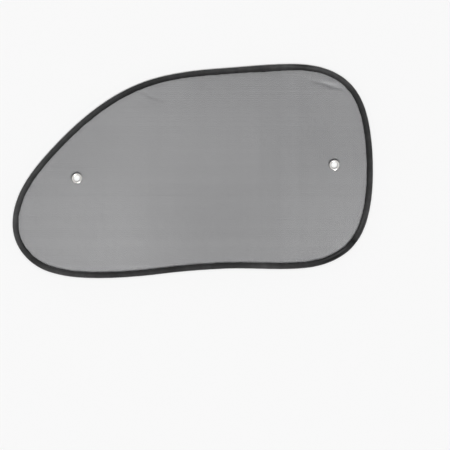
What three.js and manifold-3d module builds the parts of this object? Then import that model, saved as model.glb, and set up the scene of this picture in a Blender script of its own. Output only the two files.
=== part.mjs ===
// A car side window sunshade: a see-through mesh panel with a taped edge, a spring wire hoop and two eyelets.
// Millimetres, +Z up. The shade lies on its back, with the middle of its outline at X = Y = 0 and Z = 0 under it.
import * as THREE from "three";
import Module from "manifold-3d";
import { mergeVertices } from "three/addons/utils/BufferGeometryUtils.js";

const wasm = await Module();
wasm.setup();

// Size of the outline
const LENGTH = 650;
const HEIGHT = 386;

// The outline's knots, clockwise as seen from the front. Each is placed from the sides that it belongs to, and
// heading is the way that the edge runs there, in degrees from +X.
const OUTLINE = {
  leftEnd: { fromLeft: 0, fromBottom: 97.5, heading: 90 },
  slantingSide: { fromLeft: 67.5, fromTop: 156.5, heading: 47.5 },
  shoulder: { fromLeft: 260, fromTop: 25, heading: 15 },
  topEdge: { fromRight: 276, fromTop: 8, heading: 4 },
  topEnd: { fromRight: 146, fromTop: 0, heading: 0 },
  upperRightCorner: { fromRight: 43.5, fromTop: 32.5, heading: -43 },
  rightSide: { fromRight: 6.5, fromTop: 111, heading: -80 },
  rightEnd: { fromRight: 0, fromTop: 192, heading: -90 },
  lowerRightBend: { fromRight: 9.5, fromBottom: 109, heading: -105 },
  lowerRightCorner: { fromRight: 46, fromBottom: 47.5, heading: -141 },
  bottomRight: { fromRight: 120.5, fromBottom: 18.5, heading: -174 },
  bottomHollow: { fromRight: 267.5, fromBottom: 17, heading: -177.5 },
  bottomSlope: { fromLeft: 270.5, fromBottom: 8, heading: -173 },
  bottomEnd: { fromLeft: 155.5, fromBottom: 0, heading: 180 },
  lowerLeftCorner: { fromLeft: 65.5, fromBottom: 11.5, heading: 161.5 },
};

// Spring wire hoop and the tube that joins its ends
const WIRE_DIAMETER = 1.6;
const WIRE_END_GAP = 1;
const WIRE_SIDES = 6;
const SLEEVE_LENGTH = 30;
const SLEEVE_WALL = 0.25;
const SLEEVE_BORE_CLEARANCE = 0.15;
const SLEEVE_SIDES = 10;

// Binding: a woven tape folded over the wire and the mesh's edge
const BINDING_WIDTH = 10.5;
const TAPE_THICKNESS = 0.35;
const CHANNEL_CLEARANCE = 0.25;
const TAPE_TO_MESH = 0.3;
const MESH_TO_CHANNEL = 0.5;

// The lapped join of the tape's ends
const JOIN_BEFORE_CORNER = 38;
const LAP_LENGTH = 15;
const LAP_GAP = 0.12;
const LAP_RAMP = 10;
const LAP_SKEW = 3;
const LAP_STEP = 3;
const WIRE_TO_TIGHT_TAPE = 0.12;

// Lockstitch seam
const SEAM_FROM_TAPE_EDGE = 1.8;
const THREAD_DIAMETER = 0.35;
const THREAD_CLEARANCE = 0.15;
const THREAD_SIDES = 4;

// Mesh panel: a thin wall with warp ridges on its front, weft ridges on its back and gaps between them
const MESH_WALL = 0.3;
const RIDGE_HEIGHT = 0.15;
const RIDGE_WIDTH = 3.2;
const RIDGE_PITCH = 8;
const RIDGE_MARGIN = 1.3;
const RIDGE_ROOT = 0.1;
const GAP_SIZE = 3.6;
const CELLS_PER_GAP = 5;

// Eyelets
const LEFT_EYELET_FROM_LEFT = 116;
const LEFT_EYELET_FROM_BOTTOM = 180;
const RIGHT_EYELET_FROM_RIGHT = 69.5;
const RIGHT_EYELET_FROM_BOTTOM = 204;
const EYELET_BORE = 11.5;
const EYELET_WIDTH = 19;
const EYELET_WALL = 0.4;
const EYELET_TO_MESH = 0.3;
const FLANGE_RISE = 0.8;
const FLANGE_ROUND = 1.1;
const CURL_REACH = 1.3;
const CURL_DROP = 0.25;
const WASHER_THICKNESS = 0.4;
const WASHER_CHAMFER = 0.15;
const WASHER_CLEARANCE = 0.15;
const EYELET_SEGMENTS = 28;

// Fineness of what follows the outline: a station at each turn of so many degrees, or after so many millimetres
const STATION_TURN = 6;
const STATION_LENGTH = 30;
const STATION_LEAST = 1;

// What follows from the sizes above
const wireRadius = WIRE_DIAMETER / 2;
const sleeveBoreRadius = wireRadius + SLEEVE_BORE_CLEARANCE;
const sleeveRadius = sleeveBoreRadius + SLEEVE_WALL;
const channelRadius = sleeveRadius + CHANNEL_CLEARANCE;
const tightChannelRadius = wireRadius + WIRE_TO_TIGHT_TAPE;
const wireInset = channelRadius + TAPE_THICKNESS;
const slotHalf = MESH_WALL / 2 + TAPE_TO_MESH;
const legHalf = slotHalf + TAPE_THICKNESS;
const lapLift = TAPE_THICKNESS + LAP_GAP;
const seamInset = BINDING_WIDTH - SEAM_FROM_TAPE_EDGE;
const meshInset = wireInset + channelRadius + MESH_TO_CHANNEL;
const ridgeInset = BINDING_WIDTH + RIDGE_MARGIN;
const midHeight = wireInset;

// The outline as a closed path of Bezier spans

const DEGREE = Math.PI / 180;

function knotPlace(knot) {
  const x = "fromLeft" in knot ? knot.fromLeft - LENGTH / 2 : LENGTH / 2 - knot.fromRight;
  const y = "fromBottom" in knot ? knot.fromBottom - HEIGHT / 2 : HEIGHT / 2 - knot.fromTop;
  return new THREE.Vector2(x, y);
}

function direction(degrees) {
  return new THREE.Vector2(Math.cos(degrees * DEGREE), Math.sin(degrees * DEGREE));
}

// The signed angle from direction a to direction b.
function turnBetween(a, b) {
  return Math.atan2(a.x * b.y - a.y * b.x, a.dot(b));
}

// The length of a curve's handle, as a share of the chord, from the angles between chord and edge at its ends.
function handleShare(here, there) {
  const bend = Math.sin(here) - Math.sin(there) / 16;
  const otherBend = Math.sin(there) - Math.sin(here) / 16;
  const swing = Math.SQRT2 * bend * otherBend * (Math.cos(here) - Math.cos(there));
  const root = Math.sqrt(5);
  const slack = 1 + (root - 1) * 0.5 * Math.cos(here) + (3 - root) * 0.5 * Math.cos(there);
  return (2 + swing) / (3 * slack);
}

function outlineSpan(from, to) {
  const start = knotPlace(from);
  const end = knotPlace(to);
  const chord = end.clone().sub(start);
  const startWay = direction(from.heading);
  const endWay = direction(to.heading);
  const startAngle = turnBetween(chord, startWay);
  const endAngle = turnBetween(endWay, chord);
  const startHandle = chord.length() * handleShare(startAngle, endAngle);
  const endHandle = chord.length() * handleShare(endAngle, startAngle);
  return new THREE.CubicBezierCurve(
    start,
    start.clone().addScaledVector(startWay, startHandle),
    end.clone().addScaledVector(endWay, -endHandle),
    end,
  );
}

const knots = Object.values(OUTLINE);
const outline = new THREE.CurvePath();
knots.forEach((knot, i) => outline.add(outlineSpan(knot, knots[(i + 1) % knots.length])));
const perimeter = outline.getLength();

// The distance along the outline, from the left end, at which a knot lies.
function distanceTo(knotName) {
  const index = Object.keys(OUTLINE).indexOf(knotName);
  return index === 0 ? 0 : outline.getCurveLengths()[index - 1];
}

// The place and the inward direction at a distance along the outline.
function edgeAt(distance) {
  const share = THREE.MathUtils.euclideanModulo(distance, perimeter) / perimeter;
  const place = outline.getPoint(share);
  const way = outline.getTangent(share);
  return { place, inward: new THREE.Vector2(way.y, -way.x), way };
}

// Distances from start to end, at every knot on the way and evenly spaced between knots: closer together where the
// outline turns, and further apart where it runs straight.
function stationsBetween(start, end) {
  const laps = [0, perimeter, 2 * perimeter];
  const passed = laps.flatMap((lap) => outline.getCurveLengths().map((distance) => lap + distance));
  const stops = [start, ...passed.filter((at) => at > start + STATION_LEAST && at < end - STATION_LEAST), end];
  return stops.slice(0, -1).flatMap((from, i) => {
    const to = stops[i + 1];
    const turned = Math.abs(turnBetween(edgeAt(from).way, edgeAt(to).way)) / DEGREE;
    const steps = Math.ceil(Math.max(turned / STATION_TURN, (to - from) / STATION_LENGTH));
    return Array.from({ length: steps }, (_, step) => from + ((to - from) * step) / steps);
  });
}

// The outline as a flat shape, moved inwards by a distance.
function outlineShape(inset) {
  const points = stationsBetween(0, perimeter).map((distance) => {
    const { place, inward } = edgeAt(distance);
    return place.clone().addScaledVector(inward, inset);
  });
  return new THREE.Shape(points);
}

// Sweeps along the outline
// A section is a list of loops, the outer one first and holes after it. Each loop's points are [distance inwards from
// the outline, height above the middle of the shade], anticlockwise on the outer loop and clockwise on a hole.

// One ring of vertices: a section set across the outline. skew moves the section's inner side ahead along the edge.
function sectionRing(distance, loops, skew = 0) {
  return loops.flat().map(([inset, rise]) => {
    const { place, inward } = edgeAt(distance + (skew * inset) / BINDING_WIDTH);
    const at = place.clone().addScaledVector(inward, inset);
    return [at.x, at.y, midHeight + rise];
  });
}

function sideFaces(loops, ringCount, ringSize, closed) {
  const faces = [];
  const last = closed ? ringCount : ringCount - 1;
  for (let ring = 0; ring < last; ring++) {
    const here = ring * ringSize;
    const next = ((ring + 1) % ringCount) * ringSize;
    let first = 0;
    for (const loop of loops) {
      loop.forEach((_, i) => {
        const a = first + i;
        const b = first + ((i + 1) % loop.length);
        faces.push(here + a, next + a, next + b, here + a, next + b, here + b);
      });
      first += loop.length;
    }
  }
  return faces;
}

function endFaces(loops, lastRing) {
  const [contour, ...holes] = loops.map((loop) => loop.map(([x, y]) => new THREE.Vector2(x, y)));
  const cut = THREE.ShapeUtils.triangulateShape(contour, holes);
  const start = cut.flat();
  const end = cut.flatMap(([a, b, c]) => [lastRing + a, lastRing + c, lastRing + b]);
  return [...start, ...end];
}

// A solid that follows the outline. sectionAt gives the section at a distance, and skewAt how far it leans.
function sweep(stations, sectionAt, { closed = false, skewAt = () => 0 } = {}) {
  const rings = stations.map((distance) => sectionRing(distance, sectionAt(distance), skewAt(distance)));
  const loops = sectionAt(stations[0]);
  const ringSize = rings[0].length;
  const faces = sideFaces(loops, rings.length, ringSize, closed);
  if (!closed) faces.push(...endFaces(loops, (rings.length - 1) * ringSize));
  const geometry = new THREE.BufferGeometry();
  geometry.setAttribute("position", new THREE.Float32BufferAttribute(rings.flat(2), 3));
  geometry.setIndex(faces);
  geometry.computeVertexNormals();
  return geometry;
}

// A round loop, with its flats square to the axes. clockwise is for a hole.
function roundLoop(inset, rise, radius, sides, clockwise = false) {
  const points = Array.from({ length: sides }, (_, i) => {
    const angle = ((i + 0.5) * 2 * Math.PI) / sides;
    return [inset + radius * Math.cos(angle), rise + radius * Math.sin(angle)];
  });
  return clockwise ? points.reverse() : points;
}

// Hoop

const sleeveMiddle = distanceTo("bottomSlope");

function wireGeometry() {
  const start = sleeveMiddle + WIRE_END_GAP / 2;
  const end = sleeveMiddle + perimeter - WIRE_END_GAP / 2;
  const section = [roundLoop(wireInset, 0, wireRadius, WIRE_SIDES)];
  return sweep([...stationsBetween(start, end), end], () => section);
}

function sleeveGeometry() {
  const start = sleeveMiddle - SLEEVE_LENGTH / 2;
  const end = sleeveMiddle + SLEEVE_LENGTH / 2;
  const section = [
    roundLoop(wireInset, 0, sleeveRadius, SLEEVE_SIDES),
    roundLoop(wireInset, 0, sleeveBoreRadius, SLEEVE_SIDES, true),
  ];
  return sweep([start, sleeveMiddle, end], () => section);
}

// Binding

const joinStart = distanceTo("lowerRightCorner") - JOIN_BEFORE_CORNER;
const joinEnd = joinStart + perimeter;

// The corners of an eight-sided channel round the wire, in degrees, from its top round the edge to its bottom.
const CHANNEL_CORNERS = [67.5, 112.5, 157.5, 202.5, 247.5, 292.5];

function channelPoints(radius) {
  const cornerRadius = radius / Math.cos(22.5 * DEGREE);
  return CHANNEL_CORNERS.map((degrees) => [
    wireInset + cornerRadius * Math.cos(degrees * DEGREE),
    cornerRadius * Math.sin(degrees * DEGREE),
  ]);
}

// One face of the folded tape, from the upper edge round the wire to the lower edge.
function foldFace(radius, legHeight) {
  const root = wireInset + Math.SQRT2 * radius - legHeight;
  return [
    [BINDING_WIDTH, legHeight],
    [root, legHeight],
    ...channelPoints(radius),
    [root, -legHeight],
    [BINDING_WIDTH, -legHeight],
  ];
}

// The folded tape's section, from the inner radius of its channel and half the height of its slot.
function tapeSection(innerRadius, innerHalf) {
  const outside = foldFace(innerRadius + TAPE_THICKNESS, innerHalf + TAPE_THICKNESS);
  const inside = foldFace(innerRadius, innerHalf);
  return [[...outside, ...inside.reverse()]];
}

function between(low, high, share) {
  return THREE.MathUtils.lerp(low, high, THREE.MathUtils.clamp(share, 0, 1));
}

// The first end of the tape is drawn tight round the wire, so that the last end can pass over it.
function tapeSectionAt(distance) {
  const opened = (distance - joinStart - LAP_LENGTH) / LAP_RAMP;
  const radius = between(tightChannelRadius, channelRadius, opened);
  return tapeSection(radius, slotHalf + tapeLift(distance));
}

// How far the tape's last end stands off, where it laps over the first.
function tapeLift(distance) {
  return between(0, lapLift, (distance - joinEnd + LAP_RAMP) / LAP_RAMP);
}

function tapeSkew(distance) {
  return between(0, LAP_SKEW, (distance - joinEnd) / LAP_LENGTH);
}

// Stations from the join round to the join again, with close ones at the lap and at its ramps.
function stationsFromJoin() {
  const lap = [];
  for (let at = 0; at < LAP_LENGTH + LAP_SKEW; at += LAP_STEP) lap.push(joinStart + at);
  const lapEnd = joinStart + LAP_LENGTH + LAP_SKEW + LAP_STEP;
  const rampStart = joinEnd - LAP_RAMP;
  return [...lap, ...stationsBetween(lapEnd, rampStart), rampStart, joinEnd - LAP_RAMP / 2];
}

function bindingGeometry() {
  const overLap = [];
  for (let at = 0; at < LAP_LENGTH; at += LAP_STEP) overLap.push(joinEnd + at);
  const stations = [...stationsFromJoin(), ...overLap, joinEnd + LAP_LENGTH];
  return sweep(stations, tapeSectionAt, { skewAt: tapeSkew });
}

// Seam: side is 1 for the needle thread on the front and -1 for the bobbin thread on the back.

function threadLift(distance) {
  const pastLap = (distance - joinStart - LAP_LENGTH - LAP_SKEW) / LAP_RAMP;
  return Math.max(between(lapLift, 0, pastLap), tapeLift(distance));
}

function threadGeometry(side) {
  const radius = THREAD_DIAMETER / 2;
  return sweep(
    stationsFromJoin(),
    (distance) => {
      const rise = legHalf + threadLift(distance) + THREAD_CLEARANCE + radius;
      return [roundLoop(seamInset, side * rise, radius * Math.SQRT2, THREAD_SIDES)];
    },
    { closed: true },
  );
}

// Mesh panel

const eyeletPlaces = {
  left: new THREE.Vector2(LEFT_EYELET_FROM_LEFT - LENGTH / 2, LEFT_EYELET_FROM_BOTTOM - HEIGHT / 2),
  right: new THREE.Vector2(LENGTH / 2 - RIGHT_EYELET_FROM_RIGHT, RIGHT_EYELET_FROM_BOTTOM - HEIGHT / 2),
};
const eyeletRadius = EYELET_WIDTH / 2;
const barrelRadius = EYELET_BORE / 2 + EYELET_WALL;

function solidFrom(geometry) {
  const bare = geometry.clone();
  bare.deleteAttribute("normal");
  bare.deleteAttribute("uv");
  const merged = mergeVertices(bare, 1e-4);
  return new wasm.Manifold(
    new wasm.Mesh({
      numProp: 3,
      vertProperties: merged.attributes.position.array,
      triVerts: new Uint32Array(merged.index.array),
    }),
  );
}

function geometryFrom(solid) {
  const mesh = solid.getMesh();
  const geometry = new THREE.BufferGeometry();
  geometry.setAttribute("position", new THREE.BufferAttribute(mesh.vertProperties, 3));
  geometry.setIndex(new THREE.BufferAttribute(mesh.triVerts, 1));
  geometry.computeVertexNormals();
  return geometry;
}

// A flat slab of the panel between two heights above its middle, moved in from the outline and open at the eyelets.
function panelSlab(inset, holeRadius, low, high) {
  const shape = outlineShape(inset);
  for (const place of Object.values(eyeletPlaces)) {
    const hole = new THREE.Path();
    hole.absarc(place.x, place.y, holeRadius, 0, 2 * Math.PI);
    shape.holes.push(hole);
  }
  const slab = new THREE.ExtrudeGeometry(shape, {
    depth: high - low,
    bevelEnabled: false,
    curveSegments: EYELET_SEGMENTS,
  });
  return solidFrom(slab.translate(0, 0, midHeight + low));
}

// The middles of the ridges across a width, evenly spaced about the middle of the shade.
function ridgePlaces(width) {
  const half = Math.floor(width / 2 / RIDGE_PITCH);
  return Array.from({ length: 2 * half + 1 }, (_, i) => (i - half) * RIDGE_PITCH);
}

function bar(x, y, z, width, depth, height) {
  return solidFrom(new THREE.BoxGeometry(width, depth, height).translate(x, y, z));
}

// The ridges of one face. side is 1 for the warp, along Y on the front, and -1 for the weft, along X on the back.
function ridges(side) {
  const thickness = RIDGE_HEIGHT + RIDGE_ROOT;
  const middle = midHeight + side * (MESH_WALL / 2 + RIDGE_HEIGHT - thickness / 2);
  const bars =
    side > 0
      ? ridgePlaces(LENGTH).map((x) => bar(x, 0, middle, RIDGE_WIDTH, HEIGHT, thickness))
      : ridgePlaces(HEIGHT).map((y) => bar(0, y, middle, LENGTH, RIDGE_WIDTH, thickness));
  const reach = MESH_WALL + RIDGE_HEIGHT;
  const field = panelSlab(ridgeInset, eyeletRadius + RIDGE_MARGIN, -reach, reach);
  return wasm.Manifold.union(bars).intersect(field);
}

// Whether a square gap lies wholly in the ridged field and clear of the eyelets.
function gapFits(x, y) {
  const room = ridgeInset + GAP_SIZE;
  const here = new THREE.Vector2(x, y);
  const clearOfEyelets = Object.values(eyeletPlaces).every(
    (place) => place.distanceTo(here) > eyeletRadius + RIDGE_MARGIN + GAP_SIZE,
  );
  return clearOfEyelets && insideOutline(here, room);
}

const outlineSamples = stationsBetween(0, perimeter).map((distance) => edgeAt(distance));

function insideOutline(point, room) {
  return outlineSamples.every(({ place, inward }) => {
    const away = point.clone().sub(place);
    return away.length() > STATION_LENGTH || away.dot(inward) > room;
  }) && windsRound(point);
}

// Whether the outline goes round a point: its samples then turn a whole circle as seen from there.
function windsRound(point) {
  let turned = 0;
  outlineSamples.forEach(({ place }, i) => {
    const next = outlineSamples[(i + 1) % outlineSamples.length].place;
    turned += turnBetween(place.clone().sub(point), next.clone().sub(point));
  });
  return Math.abs(turned) > Math.PI;
}

// Square gaps between the ridges, evenly spread over the panel, with alternate rows shifted.
function gapCutters() {
  const spacing = RIDGE_PITCH * CELLS_PER_GAP;
  const columns = Math.ceil(LENGTH / 2 / spacing);
  const rows = Math.ceil(HEIGHT / 2 / spacing);
  const cutDepth = 2 * (MESH_WALL + RIDGE_HEIGHT);
  const cutters = [];
  for (let row = -rows; row <= rows; row++) {
    const shift = row % 2 ? RIDGE_PITCH * Math.floor(CELLS_PER_GAP / 2) : 0;
    for (let column = -columns; column <= columns; column++) {
      const x = column * spacing + shift + RIDGE_PITCH / 2;
      const y = row * spacing + RIDGE_PITCH / 2;
      if (gapFits(x, y)) cutters.push(bar(x, y, midHeight, GAP_SIZE, GAP_SIZE, cutDepth));
    }
  }
  return cutters;
}

function meshPanelGeometry() {
  const holeRadius = barrelRadius + EYELET_TO_MESH;
  const wall = panelSlab(meshInset, holeRadius, -MESH_WALL / 2, MESH_WALL / 2);
  const gaps = wasm.Manifold.union(gapCutters());
  return geometryFrom(wall.add(ridges(1)).add(ridges(-1)).subtract(gaps));
}

// Eyelets: profiles of [radius, height above the middle of the mesh], up the bore, out over the front and back under,
// turned about the eyelet's axis

function turned(profile) {
  const points = [...profile, profile[0]].map(([radius, height]) => new THREE.Vector2(radius, height));
  return new THREE.LatheGeometry(points.reverse(), EYELET_SEGMENTS).rotateX(Math.PI / 2);
}

// The barrel and its front flange, pressed from one sheet, with the barrel's end curled over the washer behind.
function eyeletGeometry() {
  const bore = EYELET_BORE / 2;
  const flangeFoot = MESH_WALL / 2 + EYELET_TO_MESH;
  const crown = flangeFoot + FLANGE_RISE + EYELET_WALL;
  const washerBack = -(MESH_WALL / 2 + EYELET_TO_MESH + WASHER_THICKNESS);
  const curlTop = washerBack - WASHER_CLEARANCE;
  const curlBottom = curlTop - EYELET_WALL - CURL_DROP;
  const curlRim = barrelRadius + CURL_REACH;
  const roundCut = FLANGE_ROUND * (1 - Math.SQRT1_2);
  return turned([
    [bore, curlTop],
    [bore, crown - FLANGE_ROUND],
    [bore + roundCut, crown - roundCut],
    [bore + FLANGE_ROUND, crown],
    [eyeletRadius - FLANGE_ROUND, crown],
    [eyeletRadius - roundCut, crown - roundCut],
    [eyeletRadius, flangeFoot],
    [eyeletRadius - EYELET_WALL, flangeFoot],
    [eyeletRadius - FLANGE_ROUND, crown - EYELET_WALL],
    [bore + FLANGE_ROUND, crown - EYELET_WALL],
    [barrelRadius, crown - FLANGE_ROUND],
    [barrelRadius, curlTop],
    [curlRim, curlTop],
    [curlRim, curlTop - EYELET_WALL / 2],
    [curlRim - CURL_DROP, curlBottom],
    [barrelRadius, curlBottom],
  ]);
}

function washerGeometry() {
  const front = -(MESH_WALL / 2 + EYELET_TO_MESH);
  const back = front - WASHER_THICKNESS;
  const inner = barrelRadius + WASHER_CLEARANCE;
  return turned([
    [inner, back],
    [inner, front],
    [eyeletRadius, front],
    [eyeletRadius, back + WASHER_CHAMFER],
    [eyeletRadius - WASHER_CHAMFER, back],
  ]);
}

// Materials

const meshFabric = new THREE.MeshStandardMaterial({
  color: 0x1c1c1e,
  roughness: 0.85,
  metalness: 0,
  transparent: true,
  opacity: 0.62,
  side: THREE.DoubleSide,
});
const bindingTape = new THREE.MeshStandardMaterial({ color: 0x2b2b2c, roughness: 0.8, metalness: 0 });
const seamThread = new THREE.MeshStandardMaterial({ color: 0x1a1a1b, roughness: 0.6, metalness: 0 });
const springSteel = new THREE.MeshStandardMaterial({ color: 0x8c8f92, roughness: 0.35, metalness: 1 });
const nickelPlate = new THREE.MeshStandardMaterial({ color: 0xd8d8d6, roughness: 0.18, metalness: 1 });

// Assembly

const sunshade = new THREE.Group();

function addPiece(name, geometry, material, parent = sunshade) {
  const mesh = new THREE.Mesh(geometry, material);
  mesh.name = name;
  parent.add(mesh);
}

addPiece("mesh_panel", meshPanelGeometry(), meshFabric);
addPiece("edge_binding", bindingGeometry(), bindingTape);
addPiece("spring_wire_hoop", wireGeometry(), springSteel);
addPiece("wire_joining_sleeve", sleeveGeometry(), springSteel);
addPiece("front_seam_thread", threadGeometry(1), seamThread);
addPiece("rear_seam_thread", threadGeometry(-1), seamThread);

for (const [side, place] of Object.entries(eyeletPlaces)) {
  const eyelet = new THREE.Group();
  eyelet.position.set(place.x, place.y, midHeight);
  addPiece(`${side}_eyelet`, eyeletGeometry(), nickelPlate, eyelet);
  addPiece(`${side}_eyelet_washer`, washerGeometry(), nickelPlate, eyelet);
  sunshade.add(eyelet);
}

export default sunshade;
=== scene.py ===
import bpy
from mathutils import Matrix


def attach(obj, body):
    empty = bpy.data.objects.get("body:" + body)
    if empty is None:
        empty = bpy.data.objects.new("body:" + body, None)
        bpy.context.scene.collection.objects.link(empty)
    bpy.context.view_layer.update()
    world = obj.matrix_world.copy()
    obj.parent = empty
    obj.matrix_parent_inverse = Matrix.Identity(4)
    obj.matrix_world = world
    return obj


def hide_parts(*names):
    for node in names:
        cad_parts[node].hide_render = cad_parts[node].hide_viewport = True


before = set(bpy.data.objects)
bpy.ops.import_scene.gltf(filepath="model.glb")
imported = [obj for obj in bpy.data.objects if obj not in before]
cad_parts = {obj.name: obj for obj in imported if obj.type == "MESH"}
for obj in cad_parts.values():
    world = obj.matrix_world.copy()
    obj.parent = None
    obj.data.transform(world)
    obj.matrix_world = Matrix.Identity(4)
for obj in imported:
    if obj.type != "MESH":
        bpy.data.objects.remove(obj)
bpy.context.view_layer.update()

import math

import bpy
import numpy as np
from mathutils import Vector

# Sizes in millimetres, as in the solids where the two share them. MID is the height of the shade's middle.
LENGTH = 650
MID = 1.8
WIRE_INSET = 1.8
FOLD_RADIUS = 1.8
FOLD_TURN = math.radians(111.6)
TIGHT_RADIUS = 1.27
TAPE = 0.35
LEG = 0.8
BAND = 10.75
SEAM_INSET = 8.7
LAP = 15
LAP_RAMP = 10
LAP_LIFT = 0.47
LAP_SKEW = 3
JOIN_BEFORE_CORNER = 38
MESH_INSET = 5
EYELETS = {"left": (-209.0, -13.0), "right": (255.5, 11.0)}
BORE = 5.75
BARREL = 6.15
RIM = 9.5
METRE = 0.001
FULL_TURN = 2 * math.pi

# The outline's knots, clockwise from the left end: x, y from the middle, and the edge's heading in degrees
KNOTS = {
    "left_end": (-325, -95.5, 90),
    "slanting_side": (-257.5, 36.5, 47.5),
    "shoulder": (-65, 168, 15),
    "top_edge": (49, 185, 4),
    "top_end": (179, 193, 0),
    "upper_right_corner": (281.5, 160.5, -43),
    "right_side": (318.5, 82, -80),
    "right_end": (325, 1, -90),
    "lower_right_bend": (315.5, -84, -105),
    "lower_right_corner": (279, -145.5, -141),
    "bottom_right": (204.5, -174.5, -174),
    "bottom_hollow": (57.5, -176, -177.5),
    "bottom_slope": (-54.5, -185, -173),
    "bottom_end": (-169.5, -193, 180),
    "lower_left_corner": (-259.5, -181.5, 161.5),
}


# The outline

def handle_share(here, there):
    """The length of a curve's handle, as a share of the chord, from the angles at the chord's two ends."""
    bend = math.sin(here) - math.sin(there) / 16
    other = math.sin(there) - math.sin(here) / 16
    swing = math.sqrt(2) * bend * other * (math.cos(here) - math.cos(there))
    root = math.sqrt(5)
    slack = 1 + (root - 1) / 2 * math.cos(here) + (3 - root) / 2 * math.cos(there)
    return (2 + swing) / (3 * slack)


def span_points(start, end, shares):
    a, b = np.array(start[:2], float), np.array(end[:2], float)
    chord = b - a
    size = math.hypot(*chord)
    lean = math.atan2(chord[1], chord[0])
    ways = [math.radians(start[2]), math.radians(end[2])]
    here = (ways[0] - lean + math.pi) % FULL_TURN - math.pi
    there = (lean - ways[1] + math.pi) % FULL_TURN - math.pi
    p = a + size * handle_share(here, there) * np.array([math.cos(ways[0]), math.sin(ways[0])])
    q = b - size * handle_share(there, here) * np.array([math.cos(ways[1]), math.sin(ways[1])])
    t = shares[:, None]
    return a * (1 - t) ** 3 + 3 * p * t * (1 - t) ** 2 + 3 * q * t**2 * (1 - t) + b * t**3


def trace_outline():
    """Closely spaced points of the outline, their distance along it, and the distance of each knot."""
    knots = list(KNOTS.values())
    shares = np.linspace(0, 1, 300, endpoint=False)
    spans = [span_points(k, knots[(i + 1) % len(knots)], shares) for i, k in enumerate(knots)]
    points = np.vstack([*spans, spans[0][:1]])
    steps = np.hypot(*np.diff(points, axis=0).T)
    along = np.concatenate([[0], np.cumsum(steps)])
    return points, along, dict(zip(KNOTS, along[:: len(shares)]))


OUTLINE, ALONG, KNOT_AT = trace_outline()
PERIMETER = ALONG[-1]


def outline_place(at):
    return np.stack([np.interp(at, ALONG, OUTLINE[:, i]) for i in (0, 1)], -1)


def edge_at(distance):
    """Places and inward directions at distances along the outline."""
    at = np.mod(distance, PERIMETER)
    way = outline_place(np.mod(at + 1, PERIMETER)) - outline_place(np.mod(at - 1, PERIMETER))
    way /= np.linalg.norm(way, axis=-1, keepdims=True)
    return outline_place(at), np.stack([way[..., 1], -way[..., 0]], -1)


def on_edge(distance, inset, rise):
    """Points at distances along the outline, insets from it and heights over the middle of the shade."""
    place, inward = edge_at(distance)
    flat = place + inward * np.asarray(inset)[..., None]
    return np.concatenate([flat, (MID + np.asarray(rise))[..., None]], -1)


# Smooth noise along a line and over the panel, the same in each run

def ripple(x, size, seed, turns=5):
    """A sum of sines of x with wavelengths round size, between about -1 and 1."""
    pick = np.random.default_rng(seed)
    waves = size * np.exp(pick.uniform(-0.7, 0.7, turns))
    phases = pick.uniform(0, FULL_TURN, turns)
    return sum(np.sin(FULL_TURN * x / w + p) for w, p in zip(waves, phases)) / math.sqrt(turns) * 0.8


def ring_ripple(distance, size, seed, turns=6):
    """The same along the outline, closed where it comes round."""
    pick = np.random.default_rng(seed)
    counts = np.maximum(1, np.round(PERIMETER / size * np.exp(pick.uniform(-0.6, 0.6, turns))))
    phases = pick.uniform(0, FULL_TURN, turns)
    turned = FULL_TURN * distance / PERIMETER
    return sum(np.sin(turned * n + p) for n, p in zip(counts, phases)) / math.sqrt(turns) * 0.8


def hump(x, middle, half):
    """1 at the middle, falling smoothly to 0 at half a width away."""
    return np.clip(1 - ((x - middle) / half) ** 2, 0, None) ** 2


def smooth_step(x, low, high):
    t = np.clip((x - low) / (high - low), 0, 1)
    return t * t * (3 - 2 * t)


# Making pieces

def add_piece(name, points, faces, material, replaces, uv=None):
    mesh = bpy.data.meshes.new(name)
    mesh.from_pydata((np.asarray(points) * METRE).tolist(), [], np.asarray(faces).tolist())
    if uv is not None:
        corners = np.empty(len(mesh.loops), np.int32)
        mesh.loops.foreach_get("vertex_index", corners)
        layer = mesh.uv_layers.new(name="cloth")
        layer.data.foreach_set("uv", np.asarray(uv)[corners].ravel())
    mesh.polygons.foreach_set("use_smooth", [True] * len(mesh.polygons))
    mesh.materials.append(material)
    mesh.update()
    piece = bpy.data.objects.new(name, mesh)
    bpy.context.scene.collection.objects.link(piece)
    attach(piece, "root")
    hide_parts(*replaces)
    return piece


def grid_faces(rows, columns, closed_rows=False, closed_columns=False):
    """Quads over a grid of vertices, row by row."""
    r = np.arange(rows if closed_rows else rows - 1)
    c = np.arange(columns if closed_columns else columns - 1)
    r, c = np.meshgrid(r, c, indexing="ij")
    here, up = r * columns, (r + 1) % rows * columns
    across = (c + 1) % columns
    return np.stack([here + c, up + c, up + across, here + across], -1).reshape(-1, 4)


# Materials

RIB_PITCH = 0.55
TWILL_PITCH = 0.9


def new_material(name, **values):
    material = bpy.data.materials.new(name)
    material.use_nodes = True
    shader = material.node_tree.nodes["Principled BSDF"]
    for key, value in values.items():
        shader.inputs[key.replace("_", " ")].default_value = value
    return material, material.node_tree, shader


def node(tree, kind, **values):
    made = tree.nodes.new("ShaderNode" + kind)
    for key, value in values.items():
        if key in made.inputs:
            made.inputs[key].default_value = value
        else:
            setattr(made, key, value)
    return made


def mix_colour(tree, share, low, high):
    mixed = node(tree, "Mix", data_type="RGBA")
    tree.links.new(share, mixed.inputs["Factor"])
    mixed.inputs[6].default_value = (*low, 1)
    mixed.inputs[7].default_value = (*high, 1)
    return mixed.outputs[2]


def maths(tree, operation, *values):
    made = node(tree, "Math", operation=operation)
    for i, value in enumerate(values):
        if isinstance(value, (int, float)):
            made.inputs[i].default_value = value
        else:
            tree.links.new(value, made.inputs[i])
    return made.outputs[0]


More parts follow.
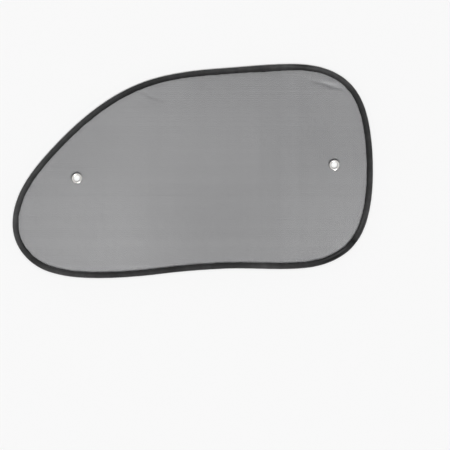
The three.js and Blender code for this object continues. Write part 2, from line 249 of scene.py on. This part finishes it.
def tape_material():
    """Black woven tape: ribs across and a fine diagonal twill, darkened or lightened by the painted light and
    shade in the piece's shade attribute.
    """
    material, tree, shader = new_material(
        "woven tape", Roughness=0.82, Specular_IOR_Level=0.3, Sheen_Weight=0.08, Sheen_Roughness=0.5
    )
    uv = node(tree, "UVMap", uv_map="cloth")
    place = node(tree, "SeparateXYZ")
    tree.links.new(uv.outputs["UV"], place.inputs[0])
    along, across = place.outputs[0], place.outputs[1]
    ribs = maths(tree, "SINE", maths(tree, "MULTIPLY", along, FULL_TURN / RIB_PITCH))
    diagonal = maths(tree, "ADD", along, across)
    twill = maths(tree, "SINE", maths(tree, "MULTIPLY", diagonal, FULL_TURN / TWILL_PITCH))
    weave = maths(tree, "ADD", maths(tree, "MULTIPLY", ribs, 0.25), maths(tree, "MULTIPLY", twill, 0.25))
    cloud = node(tree, "TexNoise", Scale=0.12, Detail=5.0, Roughness=0.62)
    tree.links.new(uv.outputs["UV"], cloud.inputs["Vector"])
    clouded = maths(tree, "MULTIPLY", cloud.outputs["Fac"], 0.9)
    tone = maths(tree, "ADD", clouded, maths(tree, "MULTIPLY", weave, 0.35))
    colour = mix_colour(tree, tone, (0.013, 0.013, 0.0133), (0.041, 0.041, 0.0415))
    # The piece's painted light and shade scale the colour
    shade = node(tree, "Attribute", attribute_name="shade")
    scaled = node(tree, "VectorMath", operation="SCALE")
    tree.links.new(colour, scaled.inputs[0])
    tree.links.new(maths(tree, "POWER", shade.outputs["Fac"], 2.0), scaled.inputs["Scale"])
    tree.links.new(scaled.outputs[0], shader.inputs["Base Color"])
    bump = node(tree, "Bump", Strength=0.6, Distance=0.00008)
    tree.links.new(weave, bump.inputs["Height"])
    tree.links.new(bump.outputs[0], shader.inputs["Normal"])
    return material


def mesh_material():
    """Black polyester thread, a little uneven in tone."""
    material, tree, shader = new_material("mesh thread", Roughness=0.55, Sheen_Weight=0.05)
    place = node(tree, "TexCoord")
    noise = node(tree, "TexNoise", Scale=900.0, Detail=3.0)
    tree.links.new(place.outputs["Object"], noise.inputs["Vector"])
    colour = mix_colour(tree, noise.outputs["Fac"], (0.018, 0.018, 0.0265), (0.038, 0.038, 0.051))
    tree.links.new(colour, shader.inputs["Base Color"])
    return material


def stitch_material():
    material, tree, shader = new_material("sewing thread", Roughness=0.5, Sheen_Weight=0.1)
    place = node(tree, "TexCoord")
    twist = node(tree, "TexWave", bands_direction="DIAGONAL", Scale=2200.0, Distortion=1.0)
    tree.links.new(place.outputs["Object"], twist.inputs["Vector"])
    colour = mix_colour(tree, twist.outputs["Fac"], (0.012, 0.012, 0.0125), (0.03, 0.03, 0.031))
    tree.links.new(colour, shader.inputs["Base Color"])
    return material


def nickel_material():
    """Polished nickel with faint rubbed patches."""
    material, tree, shader = new_material("polished nickel", Metallic=1.0)
    place = node(tree, "TexCoord")
    patches = node(tree, "TexNoise", Scale=260.0, Detail=4.0, Roughness=0.6)
    tree.links.new(place.outputs["Object"], patches.inputs["Vector"])
    colour = mix_colour(tree, patches.outputs["Fac"], (0.70, 0.685, 0.655), (0.84, 0.825, 0.80))
    tree.links.new(colour, shader.inputs["Base Color"])
    rough = node(tree, "MapRange")
    tree.links.new(patches.outputs["Fac"], rough.inputs["Value"])
    rough.inputs["To Min"].default_value = 0.08
    rough.inputs["To Max"].default_value = 0.24
    tree.links.new(rough.outputs[0], shader.inputs["Roughness"])
    return material


def steel_material():
    material, tree, shader = new_material("spring steel", Metallic=1.0, Roughness=0.32)
    place = node(tree, "TexCoord")
    drawn = node(tree, "TexNoise", Scale=400.0, Detail=3.0)
    tree.links.new(place.outputs["Object"], drawn.inputs["Vector"])
    colour = mix_colour(tree, drawn.outputs["Fac"], (0.38, 0.385, 0.39), (0.56, 0.565, 0.57))
    tree.links.new(colour, shader.inputs["Base Color"])
    return material


# Binding tape

JOIN_START = KNOT_AT["lower_right_corner"] - JOIN_BEFORE_CORNER
JOIN_END = JOIN_START + PERIMETER
# Stretches of painted light and shade along the tape, where it turns to the light or from it: a knot, the way
# from it, half a length, and the change
SHADED = [
    ("left_end", 30, 110, 0.32),
    ("left_end", -34, 28, 0.15),
    ("slanting_side", 15, 90, 0.09),
    ("slanting_side", 125, 55, 0.12),
    ("shoulder", -40, 130, -0.22),
    ("shoulder", 50, 40, -0.06),
    ("top_end", -25, 60, 0.17),
    ("top_end", 18, 28, -0.20),
    ("upper_right_corner", -45, 75, 0.20),
    ("right_side", -12, 50, -0.12),
    ("right_side", 50, 70, -0.08),
    ("right_end", -10, 25, 0.05),
    ("lower_right_bend", -10, 55, 0.22),
    ("lower_right_corner", -22, 24, -0.24),
    ("lower_right_corner", 38, 38, -0.33),
    ("bottom_right", 70, 50, 0.26),
    ("bottom_hollow", 0, 30, -0.07),
    ("bottom_hollow", 90, 50, -0.08),
    ("bottom_end", 66, 62, 0.30),
    ("lower_left_corner", 36, 24, -0.16),
]
# Lanes of painted light and shade along the tape: a knot, the way from it, half a length, the inset, half a
# width, and the change
LANES = [
    ("top_end", -8, 16, 3.6, 2.6, 0.26),
    ("top_end", 20, 34, 2.2, 1.7, -0.36),
    ("top_end", 22, 40, 5.6, 2.4, 0.20),
    ("upper_right_corner", -50, 50, 4.6, 3.0, 0.14),
    ("right_end", 25, 50, 9.6, 1.6, -0.14),
    ("lower_right_bend", 18, 28, 3.8, 2.2, -0.32),
    ("lower_right_bend", 18, 34, 7.0, 2.0, 0.42),
    ("lower_right_corner", -24, 8, 4.6, 5.5, -0.30),
    ("lower_right_corner", 20, 38, 4.2, 2.1, -0.55),
    ("lower_right_corner", 24, 42, 7.4, 2.2, 0.72),
    ("bottom_right", 0, 60, 4.0, 1.8, -0.14),
    ("bottom_right", 0, 60, 6.8, 1.9, 0.14),
]
# Half of the tape's section: the share of it that is the leg over the mesh, the share of the leg that is
# flat, and the places of its points as shares of the whole section
LEG_SHARE = 0.55
LEG_FLAT = 0.35
HALF_SECTION = [
    0, 0.02, 0.045, 0.07, 0.095, 0.12, 0.145, 0.17,
    0.2, 0.235, 0.27, 0.31, 0.35, 0.39, 0.43, 0.47,
]
# How far in the fold's curved part reaches
FOLD_REACH = 4.2
STITCH = 3.0
STITCHES = round(PERIMETER / STITCH)
STITCH_STEP = PERIMETER / STITCHES


def band_width(distance):
    """The tape's width over the mesh, which wanders a little and is fullest along the top edge."""
    at = np.mod(distance, PERIMETER)
    wander = 0.22 * ring_ripple(distance, 26, 3) + 0.12 * ring_ripple(distance, 9, 4)
    full = 1.4 * hump(at, KNOT_AT["top_edge"] + 88, 55) * (1 + 0.3 * ring_ripple(distance, 14, 5))
    slim = 0.7 * hump(at, KNOT_AT["upper_right_corner"] - 40, 60)
    slim = slim + 0.5 * hump(at, KNOT_AT["shoulder"] + 30, 60)
    lower = 0.2 * np.cos(FULL_TURN * (at - KNOT_AT["lower_right_bend"]) / PERIMETER)
    return BAND + lower + wander + full - slim


def tape_shade(distance, inset):
    """How light the tape lies to the eye: about 1, lighter on the fold and dark towards its sewn edge.

    This is painted light and shade: painted light on the fold, and stretches and lanes painted as if turned
    to the light or from it.
    """
    at = np.mod(distance, PERIMETER)
    # Painted light and shade: stretches of the tape lighter or darker as if turned to the light or from it
    turned = 0.09 * ring_ripple(distance, 60, 31) + 0.05 * ring_ripple(distance, 17, 32)
    for name, away, half, change in SHADED:
        turned = turned + change * hump(shortest(at - KNOT_AT[name] - away), 0, half)
    # Painted light on the fold, and darker towards the sewn edge
    lanes = 0.15 * (1 - smooth_step(inset, 1.2, 5)) - 0.32 * smooth_step(inset, 5.4, 8.3)
    lanes = lanes + 0.05 * ring_ripple(distance, 38, 33) * np.sin((inset - 1) * 0.9)
    for name, away, half, place, size, change in LANES:
        lanes = lanes + change * hump(shortest(at - KNOT_AT[name] - away), 0, half) * hump(inset, place, size)
    return 1.06 + turned + lanes


def shortest(distance):
    """The shorter way round the outline."""
    return np.mod(distance + PERIMETER / 2, PERIMETER) - PERIMETER / 2


def leg_section(share, radius, leg, width):
    """Inset and rise of the tape's outer face. share goes from 0 at the front edge to 1 at the back edge."""
    behind = share > 0.5
    side = np.where(behind, -1, 1)
    t = np.where(behind, 1 - share, share) * 2
    fold = np.clip((t - LEG_SHARE) / (1 - LEG_SHARE), 0, 1)
    start = math.pi - FOLD_TURN
    angle = start + FOLD_TURN * fold
    over_inset = WIRE_INSET + radius * np.cos(angle)
    over_rise = radius * np.sin(angle)
    start_inset = WIRE_INSET + radius * math.cos(start)
    start_rise = radius * math.sin(start)
    run = np.clip(t / LEG_SHARE, 0, 1)
    flat_inset = width + (start_inset - width) * run
    slope = np.clip((run - LEG_FLAT) / (1 - LEG_FLAT), 0, 1)
    flat_rise = leg + (start_rise - leg) * slope**2 * (1.9 - 0.9 * slope)
    inset = np.where(t > LEG_SHARE, over_inset, flat_inset)
    rise = np.where(t > LEG_SHARE, over_rise, flat_rise)
    return inset, side * rise


def fold_radius(stations):
    """The fold's outer radius: tight where the other end laps over it, and wandering a little elsewhere."""
    opened = np.clip((stations - JOIN_START - LAP) / LAP_RAMP, 0, 1)
    radius = TIGHT_RADIUS + (FOLD_RADIUS - TIGHT_RADIUS) * opened
    return radius * (1 - 0.03 * (1 + np.clip(ring_ripple(stations, 20, 6), -1, 1)) * opened)


def tape_relief(distance, inset, width):
    """How far the tape stands off its plain section: a curled edge, slack puckers and the seam's pull."""
    phase = np.cos(FULL_TURN * (distance - JOIN_START) / STITCH_STEP)
    pull = np.exp(-(((inset - SEAM_INSET) / 0.55) ** 2)) * (0.10 + 0.07 * phase)
    curl = 0.10 * np.exp(-(((inset - width) / 0.6) ** 2)) * (1 + ring_ripple(distance, 12, 7))
    slack = 0.10 * ring_ripple(distance, 11, 8) * np.exp(-(((inset - 5.5) / 1.6) ** 2))
    return curl + slack - pull


def inner_face(inset, rise, radius):
    """The same section, a tape's thickness further in."""
    shrunk = 1 - TAPE / radius
    in_fold = inset < FOLD_REACH
    inner_inset = np.where(in_fold, WIRE_INSET + (inset - WIRE_INSET) * shrunk, inset)
    inner_rise = np.where(in_fold, rise * shrunk, rise - np.sign(rise) * TAPE)
    return inner_inset, inner_rise


def join_shadow(distance):
    """How much of the light reaches the tape beside the cut end that laps over it."""
    at_cut = 0.6 * hump(distance, JOIN_END + LAP, 4)
    beyond = 0.4 * hump(distance, JOIN_START + LAP + 2, 5)
    return (1 - at_cut) * (1 - beyond)


def tape_faces(rows, count):
    """Quads round the closed section of the tape, and over its two cut ends."""
    faces = grid_faces(rows, count, closed_columns=True).tolist()
    last = (rows - 1) * count
    for i in range(count // 2 - 1):
        j = count - 1 - i
        faces.append([i, i + 1, j - 1, j])
        faces.append([last + i + 1, last + i, last + j, last + j - 1])
    return faces


def there_and_back(values):
    """Values over the outer face, followed by the same ones back over the inner face."""
    return np.concatenate([values, values[:, ::-1]], axis=1)


def binding_tape():
    stations = np.arange(JOIN_START, JOIN_END + LAP + 1e-6, STITCH_STEP / 2)
    half = np.array(HALF_SECTION)
    shares = np.concatenate([half, 1 - half[::-1]])
    lift = np.clip((stations - JOIN_END + LAP_RAMP) / LAP_RAMP, 0, 1) * LAP_LIFT
    skew = np.clip((stations - JOIN_END) / LAP, 0, 1) * LAP_SKEW
    radius = fold_radius(stations)[:, None]
    width = band_width(stations)[:, None]
    distance, share = np.meshgrid(stations, shares, indexing="ij")
    inset, rise = leg_section(share, radius, (LEG + lift)[:, None], width)
    rise = rise + np.sign(rise) * tape_relief(distance, inset, width)
    skewed = distance + skew[:, None] * inset / BAND
    outer = on_edge(skewed, inset, rise)
    inner = on_edge(skewed, *inner_face(inset, rise, radius))
    points = np.concatenate([outer, inner[:, ::-1]], axis=1)
    # The painted light and shade, with the painted shadow beside the lapping cut end, go into the tape's
    # colour through its shade attribute
    shade = there_and_back(tape_shade(distance, inset) * join_shadow(distance))
    across = np.where(share > 0.5, -1, 1) * inset / width * BAND
    uv = there_and_back(np.stack([distance, across], -1))
    piece = add_piece(
        "binding_tape", points.reshape(-1, 3), tape_faces(len(stations), points.shape[1]), tape_material(),
        replaces=["edge_binding"], uv=uv.reshape(-1, 2),
    )
    layer = piece.data.attributes.new("shade", "FLOAT", "POINT")
    layer.data.foreach_set("value", shade.ravel())


# Stitches

STITCH_RADIUS = 0.175
STITCH_SIDES = 6
# Rings along a stitch: their places as shares of its length, and their sizes
STITCH_RINGS = np.array([0, 0.1, 0.3, 0.5, 0.7, 0.9, 1.0])
STITCH_SIZES = np.array([0.45, 0.85, 1, 1, 1, 0.85, 0.45])


def stitch_faces(count, side):
    """Quads round each stitch and a flat face over each of its ends."""
    rings, sides = len(STITCH_RINGS), STITCH_SIDES
    tube = grid_faces(rings, sides, closed_columns=True)
    if side < 0:
        tube = tube[:, ::-1]
    offsets = np.arange(count)[:, None, None] * rings * sides
    faces = (tube[None] + offsets).reshape(-1, 4).tolist()
    for first in range(0, count * rings * sides, rings * sides):
        start = list(range(first, first + sides))
        end = list(range(first + (rings - 1) * sides, first + rings * sides))[::-1]
        faces += [start, end] if side > 0 else [start[::-1], end[::-1]]
    made = np.empty(len(faces), object)
    made[:] = faces
    return made


def stitch_row(name, side, node_name, material):
    """One row of lockstitches: each stitch dips into the tape at both of its ends."""
    starts = JOIN_START + np.arange(STITCHES) * STITCH_STEP
    pick = np.random.default_rng(11 if side > 0 else 12)
    sway = pick.normal(0, 0.05, STITCHES)
    lap = np.clip(1 - (starts - JOIN_START - LAP - LAP_SKEW) / LAP_RAMP, 0, 1)
    lap = np.maximum(lap, np.clip((starts - JOIN_END + LAP_RAMP) / LAP_RAMP, 0, 1)) * LAP_LIFT
    share = STITCH_RINGS[None, :, None]
    around = (np.arange(STITCH_SIDES) + 0.5) * FULL_TURN / STITCH_SIDES
    reach = STITCH_RADIUS * STITCH_SIZES[None, :, None]
    arch = np.sin(math.pi * (0.08 + 0.84 * share)) ** 0.7
    centre_rise = LEG - 0.1 + lap[:, None, None] + STITCH_RADIUS * (-0.9 + 1.9 * arch)
    inset = SEAM_INSET + sway[:, None, None] + 0.12 * (share - 0.5) + reach * np.cos(around)
    rise = side * (centre_rise + reach * np.sin(around))
    distance = np.broadcast_to(starts[:, None, None] + share * STITCH_STEP * 0.97, inset.shape)
    points = on_edge(distance, inset, rise).reshape(-1, 3)
    faces = stitch_faces(STITCHES, side)
    add_piece(name, points, faces, material, replaces=[node_name])


# Mesh panel: two layers of crossing threads

PITCH = 1.2
THREAD = 0.25
THREAD_HEIGHT = 0.2
LAYER_RISE = 0.48 * THREAD_HEIGHT
HOLE_CLEARANCE = 0.3
SHORTEST_RUN = 1
# Steps between a thread's rings: in the plain panel, over the wrinkle and the crease, and beside the eyelets
RING_STEP = 17
FINE_STEP = 1.6
CLOSE_STEP = 1.2
# The wrinkle and the crease: their two ends, and how far the crease bows down from its line. The crease is
# only painted shade in thicker threads, with no rise.
WRINKLE = (217, 162.5), (276, 146)
CREASE = (-94, 144), (-47, 125)
CREASE_BOW = 4


def beside_line(x, y, line):
    """Distance along a line as a share of its length, and across it in millimetres."""
    a, b = (np.array(end) for end in line)
    length = np.linalg.norm(b - a)
    way = (b - a) / length
    dx, dy = x - a[0], y - a[1]
    return (dx * way[0] + dy * way[1]) / length, -dx * way[1] + dy * way[0]


def panel_rise(x, y):
    """Height of the stretched panel over the middle of the shade."""
    share, across = beside_line(x, y, WRINKLE)
    fold = 1.6 * hump(share, 0.5, 0.75) * np.exp(-(((across - 3) / 4.0) ** 2))
    slow = 0.25 * np.sin(x / 71 + 1.1) * np.sin(y / 53 + 0.4)
    return fold + slow


def thread_fullness(x, y):
    """How thick a thread is at a place, as a share of its usual thickness."""
    share, across = beside_line(x, y, WRINKLE)
    # Thinner threads paint light on the wrinkle's lit side, and thicker ones paint shade along its shaded
    # side and in a thin line beside it, over the fold that panel_rise raises
    lit = -0.27 * hump(share, 0.5, 0.34) * np.exp(-(((across - 4.5) / 3.2) ** 2))
    shaded = 0.37 * hump(share, 0.47, 0.68) * np.exp(-(((across + 2.0) / 3.2) ** 2))
    shaded += 0.16 * hump(share, 0.5, 0.22) * np.exp(-(((across - 9.5) / 1.8) ** 2))
    # The crease has no rise: it is painted shade, a bowed line of thicker threads, with a little painted
    # light beside it
    share, across = beside_line(x, y, CREASE)
    across = across + CREASE_BOW * hump(share, 0.45, 0.7)
    shaded += 0.34 * hump(share, 0.5, 0.65) * np.exp(-((across / 2.2) ** 2))
    lit -= 0.08 * hump(share, 0.5, 0.6) * np.exp(-(((across - 5) / 3.0) ** 2))
    left = 0.14 * smooth_step(-x, 110, 330)
    middle = 0.075 * hump(x, 90, 230)
    # A crescent of thicker threads beside each eyelet's upper rim is the eyelet's painted cast shadow
    for cx, cy in EYELETS.values():
        dx, dy = x - cx, y - cy
        away = np.hypot(dx, dy)
        upper = np.clip((0.94 * dy - 0.35 * dx) / np.maximum(away, 1), 0, 1)
        shaded += 1.4 * hump(away, RIM + 0.9, 2.2) * upper
    return 0.99 + lit + shaded + left + middle + 0.012 * (x / (LENGTH / 2))


def spaced(low, high, axis):
    """Places of the threads across an axis: evenly spaced, but for small slips and slow bunching.

    Those across X are the more even of the two.
    """
    slip = (0.03, 0.06)[axis]
    pick = np.random.default_rng(21 + axis)
    count = int((high - low) / PITCH)
    gaps = PITCH * (1 + np.clip(pick.normal(0, slip, count), -0.2, 0.2))
    places = low + np.cumsum(gaps) * (high - low) / gaps.sum()
    return places + 0.8 * slip * ripple(places, 7, 22 + axis)


def crossings(polygon, at, axis):
    """Where a line at a place across one axis passes in and out of the polygon, along the other."""
    a, b = polygon, np.roll(polygon, -1, axis=0)
    hit = (a[:, axis] > at) != (b[:, axis] > at)
    a, b = a[hit], b[hit]
    share = (at - a[:, axis]) / (b[:, axis] - a[:, axis])
    other = 1 - axis
    return np.sort(a[:, other] + share * (b[:, other] - a[:, other])).reshape(-1, 2)


def runs_of_thread(polygon, at, axis):
    """The stretches of one thread, in the panel and clear of the eyelets' barrels."""
    runs = [tuple(run) for run in crossings(polygon, at, axis)]
    for centre in EYELETS.values():
        away = at - centre[axis]
        clear = BARREL + HOLE_CLEARANCE
        if abs(away) < clear:
            half = math.sqrt(clear**2 - away**2)
            middle = centre[1 - axis]
            split = []
            for low, high in runs:
                split += [(low, min(high, middle - half)), (max(low, middle + half), high)]
            runs = split
    return [(low, high) for low, high in runs if high - low > SHORTEST_RUN]


def ring_places(low, high, at, axis):
    """Where a thread needs its rings: widely spaced, but closer over the creases and beside the eyelets.

    They are rounded to 0.01 mm, so that no two of them nearly coincide.
    """
    coarse, fine, close = (
        np.linspace(low, high, max(2, math.ceil((high - low) / step) + 1))
        for step in (RING_STEP, FINE_STEP, CLOSE_STEP)
    )
    x, y = (fine, at) if axis == 1 else (at, fine)
    share, across = beside_line(x, y, WRINKLE)
    near = (np.abs(share - 0.5) < 0.75) & (np.abs(across - 2) < 10)
    share, across = beside_line(x, y, CREASE)
    near |= (np.abs(share - 0.5) < 0.65) & (np.abs(across + 1) < 7)
    x, y = (close, at) if axis == 1 else (at, close)
    beside = np.zeros(len(close), bool)
    for cx, cy in EYELETS.values():
        beside |= np.hypot(x - cx, y - cy) < RIM + 5
    return np.unique(np.concatenate([coarse, fine[near], close[beside]]).round(2))


def fade_at_edge(along, run):
    """The panel's height comes back to the middle under the binding."""
    inside = np.minimum(along - run[0], run[1] - along)
    return np.clip((inside - 5) / 12, 0, 1)


def thread_points(run, at, axis, side):
    """Four-sided rings along one stretch of a thread, which lies on its own side of the crossing ones."""
    along = ring_places(*run, at, axis)
    level = np.full(len(along), at)
    x, y = (along, level) if axis == 1 else (level, along)
    half = THREAD / 2 * thread_fullness(x, y)
    rise = panel_rise(x, y) * fade_at_edge(along, run) + side * LAYER_RISE
    rings = np.empty((len(along), 4, 3))
    for i, (u, v) in enumerate(((1, 1), (-1, 1), (-1, -1), (1, -1))):
        rings[:, i, axis] = level + u * half
        rings[:, i, 1 - axis] = along
        rings[:, i, 2] = MID + rise + v * THREAD_HEIGHT / 2
    return rings.reshape(-1, 3)


def thread_faces(count, axis):
    """Quads round a thread of so many points, and one over each of its ends."""
    tube = grid_faces(count // 4, 4, closed_columns=True)
    ends = np.array([[0, 1, 2, 3], [count - 1, count - 2, count - 3, count - 4]])
    made = np.vstack([tube, ends])
    return made if axis == 1 else made[:, ::-1]


def mesh_weave():
    distances = np.arange(0, PERIMETER, 2.0)
    polygon = on_edge(distances, np.full(len(distances), MESH_INSET), np.zeros(len(distances)))[:, :2]
    points, faces, total = [], [], 0
    for axis, side in ((0, 1), (1, -1)):
        low, high = polygon[:, axis].min(), polygon[:, axis].max()
        for at in spaced(low, high, axis):
            for run in runs_of_thread(polygon, at, axis):
                points.append(thread_points(run, at, axis, side))
                faces.append(thread_faces(len(points[-1]), axis) + total)
                total += len(points[-1])
    piece = add_piece(
        "mesh_weave", np.vstack(points), np.vstack(faces), mesh_material(),
        replaces=["mesh_panel"],
    )


# Eyelets

# The height, from the shade's middle, at which the barrel starts to curl over the washer
CURL_START = -1.0
EYELET_SEGMENTS = 72


def arc(radius, height, size, start, end, steps):
    """Points of a profile's arc: [radius, height] about a middle, from one angle to another in degrees."""
    angles = np.radians(np.linspace(start, end, steps))
    return [[radius + size * math.cos(a), height + size * math.sin(a)] for a in angles]


def turn_profile(name, profile, centre, material, replaces):
    profile = np.array(profile)
    angles = np.arange(EYELET_SEGMENTS) * FULL_TURN / EYELET_SEGMENTS
    points = np.empty((EYELET_SEGMENTS, len(profile), 3))
    points[..., 0] = centre[0] + np.cos(angles)[:, None] * profile[:, 0]
    points[..., 1] = centre[1] + np.sin(angles)[:, None] * profile[:, 0]
    points[..., 2] = MID + profile[:, 1]
    faces = grid_faces(EYELET_SEGMENTS, len(profile), closed_rows=True, closed_columns=True)[:, ::-1]
    add_piece(name, points.reshape(-1, 3), faces, material, replaces=replaces)


def eyelet_profile():
    """The eyelet's section: up the bore, over the crown to the rim, back under it, and round the curl."""
    foot, wall, arch = 0.45, 0.4, 1.1
    spring = foot + 0.8 + wall - arch
    roll = (RIM - BORE) / 2
    middle = (RIM + BORE) / 2

    def crown(start, end, steps, shrunk):
        turns = np.radians(np.linspace(start, end, steps))
        return [
            [middle + (roll - shrunk) * math.cos(a), spring + (arch - shrunk) * math.sin(a) ** 0.85]
            for a in turns
        ]

    outside = [[BORE, CURL_START], [BORE, spring], *crown(172, 8, 15, 0)]
    rim = [[RIM, foot + 0.05], [RIM - 0.08, foot], [RIM - wall, foot]]
    inside = [*crown(14, 166, 9, wall), [BARREL, foot], [BARREL, CURL_START]]
    curl = [[BARREL + 0.3, CURL_START], *arc(BARREL + 0.95, -1.2, 0.35, 60, -90, 7)]
    end = [[BARREL, -1.6], [BORE + 0.1, -1.35]]
    return outside + rim + inside + curl + end


def washer_profile():
    inner = BARREL + 0.15
    bottom, top = -0.85, -0.45
    return [
        [inner, bottom], [inner, top], [RIM - 0.1, top],
        [RIM, -0.52], [RIM, -0.72], [RIM - 0.12, bottom],
    ]


# Build

nickel = nickel_material()
steel = steel_material()
thread = stitch_material()

binding_tape()
stitch_row("front_stitches", 1, "front_seam_thread", thread)
stitch_row("rear_stitches", -1, "rear_seam_thread", thread)
mesh_weave()
for side, middle in EYELETS.items():
    turn_profile(f"{side}_eyelet_ring", eyelet_profile(), middle, nickel, [f"{side}_eyelet"])
    turn_profile(f"{side}_washer_ring", washer_profile(), middle, nickel, [f"{side}_eyelet_washer"])

for name in ("spring_wire_hoop", "wire_joining_sleeve"):
    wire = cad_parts[name]
    for slot in wire.material_slots:
        slot.material = steel


# Floor, light and camera

FLOOR_REACH = 30


def floor():
    mesh = bpy.data.meshes.new("floor")
    corners = [(x * FLOOR_REACH, y * FLOOR_REACH, 0) for x, y in ((-1, -1), (1, -1), (1, 1), (-1, 1))]
    mesh.from_pydata(corners, [], [(0, 1, 2, 3)])
    made = new_material("pale floor", Roughness=1.0, Base_Color=(0.9, 0.9, 0.9, 1), Specular_IOR_Level=0.0)
    mesh.materials.append(made[0])
    piece = bpy.data.objects.new("floor", mesh)
    bpy.context.scene.collection.objects.link(piece)


floor()


# The room's strength by the height of the way to it: from where to where it changes, and its start and end
OVERHEAD = {"From Min": 0.3, "From Max": 1.0, "To Min": 0.15, "To Max": 0.85}
HORIZON = {"From Min": 0.12, "From Max": 0.24, "To Min": 0.66, "To Max": 0.0}
KEY_STRENGTH = 1.82
KEY_WAY = (-0.18, 0.50, -0.85)


def studio_light():
    """A bright room, brightest overhead and pale at the horizon, and a key from the bottom edge's side."""
    world = bpy.data.worlds.new("studio")
    world.use_nodes = True
    tree = world.node_tree
    way = node(tree, "TexCoord")
    place = node(tree, "SeparateXYZ")
    tree.links.new(way.outputs["Generated"], place.inputs[0])
    height = place.outputs[2]
    parts = []
    for ends in (OVERHEAD, HORIZON):
        part = node(tree, "MapRange", interpolation_type="SMOOTHSTEP")
        tree.links.new(height, part.inputs["Value"])
        for key, value in ends.items():
            part.inputs[key].default_value = value
        parts.append(part.outputs[0])
    tree.links.new(maths(tree, "ADD", *parts), tree.nodes["Background"].inputs["Strength"])
    tree.nodes["Background"].inputs["Color"].default_value = (1, 1, 1, 1)
    bpy.context.scene.world = world
    lamp = bpy.data.lights.new("soft key", "SUN")
    lamp.energy = KEY_STRENGTH
    lamp.angle = math.radians(12)
    key = bpy.data.objects.new("soft key", lamp)
    key.rotation_euler = Vector(KEY_WAY).to_track_quat("-Z", "Y").to_euler()
    bpy.context.scene.collection.objects.link(key)


studio_light()

# What the camera sees, in metres: the middle of its view, and the width of it at the shade's middle height
VIEW_MIDDLE = (0.05813, -0.0971)
FIELD = 0.8116


def look_down():
    camera = bpy.data.cameras.new("camera")
    camera.lens = 100
    camera.sensor_width = 36
    eye = bpy.data.objects.new("camera", camera)
    eye.location = (*VIEW_MIDDLE, MID * METRE + FIELD * camera.lens / camera.sensor_width)
    bpy.context.scene.collection.objects.link(eye)
    bpy.context.scene.camera = eye


look_down()
bpy.context.scene.view_settings.view_transform = "Standard"

bpy.context.view_layer.update()
